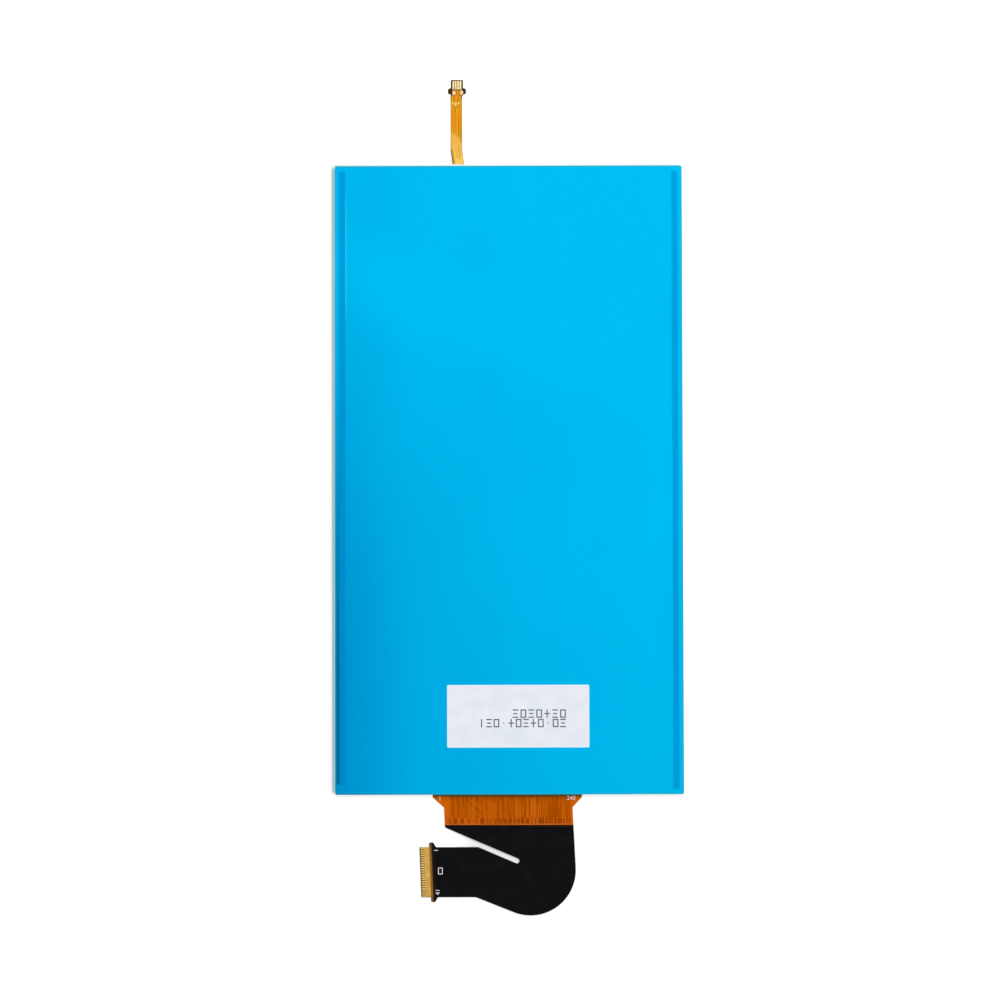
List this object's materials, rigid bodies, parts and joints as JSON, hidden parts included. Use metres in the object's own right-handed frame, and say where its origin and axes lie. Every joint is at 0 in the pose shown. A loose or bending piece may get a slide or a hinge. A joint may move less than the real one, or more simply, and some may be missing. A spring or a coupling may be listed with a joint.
{
  "type": "replacement lcd screen",
  "caption": "Flat phone display module lying face down: blue film and label over its backlight, with a wide J-shaped display flex and a narrow backlight tail.",
  "frame": {"origin": "middle of the array glass's outline, on the display face that the module rests on", "axes": "+Z out of the rear, +Y towards the LED end and the backlight tail, +X across the screen"},
  "size_m": [0.0739, 0.1758, 0.0017],
  "materials": {
    "polarizer": "dark glossy polarizer film",
    "cell_glass": "thin display glass, dark with its filter layer",
    "shield_tape": "black adhesive tape",
    "frame_plastic": "white moulded plastic",
    "optical_film": "translucent optical film",
    "light_guide": "clear polished plastic",
    "reflector": "silvery white reflector film",
    "led_body": "pale moulded package",
    "chip_silicon": "bare dark chip",
    "amber_film": "amber polyimide over copper traces",
    "orange_film": "orange polyimide over copper traces",
    "shield_film": "black shielding film",
    "flex_stiffener": "brown stiffener sheet",
    "tail_stiffener": "dark stiffener sheet",
    "contact_gold": "gold-plated copper",
    "adhesive": "double-sided adhesive strip",
    "blue_film": "blue protective film, smooth",
    "label_paper": "white label with grey print"
  },
  "bodies": {
    "root": {"front_polarizer": "polarizer", "color_filter_glass": "cell_glass", "array_glass": "cell_glass", "rear_polarizer": "polarizer", "driver_chip": "chip_silicon", "light_shield_tape": "shield_tape", "backlight_frame": "frame_plastic", "upper_prism_film": "optical_film", "lower_prism_film": "optical_film", "diffuser_film": "optical_film", "light_guide_plate": "light_guide", "reflector_film": "reflector", "leds": "led_body", "backlight_flex": "amber_film", "backlight_stiffener": "tail_stiffener", "backlight_contacts": "contact_gold", "left_adhesive_strip": "adhesive", "right_adhesive_strip": "adhesive", "protective_film": "blue_film", "label_sticker": "label_paper", "display_flex": "orange_film", "flex_stiffener": "flex_stiffener", "flex_shield_film": "shield_film", "outer_contacts": "contact_gold", "inner_contacts": "contact_gold"}
  },
  "joints": []
}
